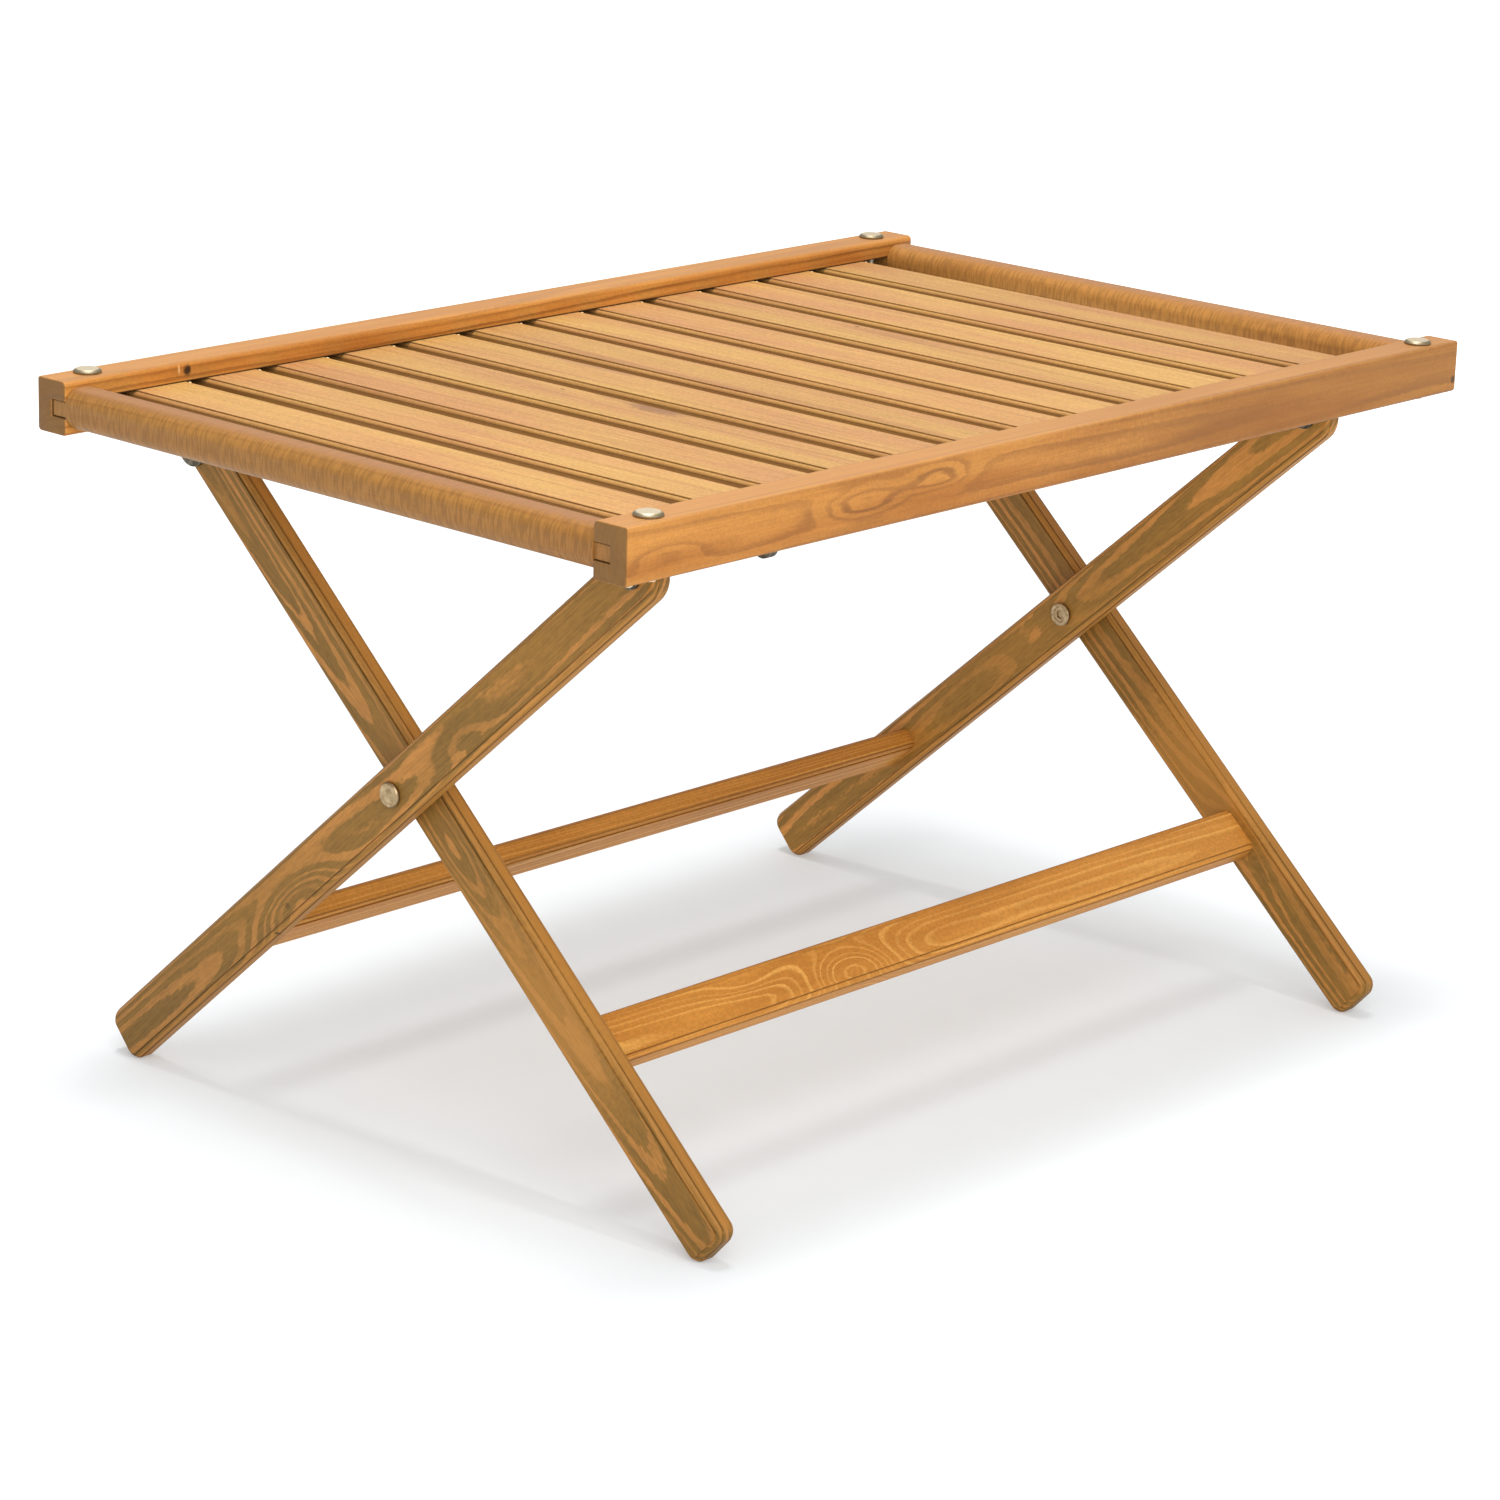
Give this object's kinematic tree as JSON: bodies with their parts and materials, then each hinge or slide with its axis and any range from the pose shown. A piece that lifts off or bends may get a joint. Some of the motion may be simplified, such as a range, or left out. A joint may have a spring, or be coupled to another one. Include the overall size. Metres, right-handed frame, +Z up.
{
  "type": "folding picnic table",
  "caption": "Low folding wooden picnic table: a slatted top inside raised rails, hinged on crossed leg frames that scissor together under it.",
  "frame": {"origin": "on the floor under the middle of the table's box, standing open", "axes": "+X along the long rails from the near end to the far end, +Y from the front rail (where leg frame A is hinged) to the back rail, +Z up"},
  "size_m": [0.8, 0.5325, 0.4699],
  "materials": {
    "slat_wood": "oiled, satin, pale honey",
    "rail_wood": "oiled, satin, orange honey",
    "leg_wood": "oiled, satin, brown honey with dark grain",
    "aged_brass": "antiqued, satin",
    "dark_steel": "blackened, satin"
  },
  "bodies": {
    "frame_a": {"leg_a_near": "leg_wood", "leg_a_far": "leg_wood", "stretcher_back": "leg_wood", "cross_bolt_near": "aged_brass", "cross_nut_near": "aged_brass", "cross_washer_near": "aged_brass", "cross_bolt_far": "aged_brass", "cross_nut_far": "aged_brass", "cross_washer_far": "aged_brass", "hinge_pin_near": "aged_brass", "hinge_cap_near": "dark_steel", "hinge_pin_far": "aged_brass", "hinge_cap_far": "dark_steel"},
    "frame_b": {"leg_b_near": "leg_wood", "leg_b_far": "leg_wood", "stretcher_front": "leg_wood", "rest_pin_near": "aged_brass", "rest_pin_far": "aged_brass"},
    "top": {"long_rail_front": "rail_wood", "long_rail_back": "rail_wood", "end_rail_near": "rail_wood", "end_rail_far": "rail_wood", "slat_01": "slat_wood", "slat_02": "slat_wood", "slat_03": "slat_wood", "slat_04": "slat_wood", "slat_05": "slat_wood", "slat_06": "slat_wood", "slat_07": "slat_wood", "slat_08": "slat_wood", "slat_09": "slat_wood", "slat_10": "slat_wood", "slat_11": "slat_wood", "slat_12": "slat_wood", "corner_bolt_front_near": "aged_brass", "corner_bolt_front_far": "aged_brass", "corner_bolt_back_near": "aged_brass", "corner_bolt_back_far": "aged_brass", "corner_nut_front_near": "aged_brass", "corner_nut_front_far": "aged_brass", "corner_nut_back_near": "aged_brass", "corner_nut_back_far": "aged_brass", "hinge_bracket_near": "dark_steel", "hook_bracket_near": "dark_steel", "hinge_bracket_far": "dark_steel", "hook_bracket_far": "dark_steel", "hinge_screw_near_1": "aged_brass", "hinge_screw_near_2": "aged_brass", "hook_screw_near_1": "aged_brass", "hook_screw_near_2": "aged_brass", "hinge_screw_far_1": "aged_brass", "hinge_screw_far_2": "aged_brass", "hook_screw_far_1": "aged_brass", "hook_screw_far_2": "aged_brass"}
  },
  "joints": [
    {"name": "legs_fold", "type": "hinge", "parent": "frame_a", "child": "frame_b", "pos_m": [0, 0, 0.24], "axis": [1, 0, 0], "range_deg": [0, 87]},
    {"name": "top_hinge", "type": "hinge", "parent": "frame_a", "child": "top", "pos_m": [0, -0.19997, 0.41692], "axis": [1, 0, 0], "range_deg": [0, 43.5]}
  ],
  "couplings": [
    {"joint": "top_hinge", "follows": "legs_fold", "ratio": 0.5}
  ]
}
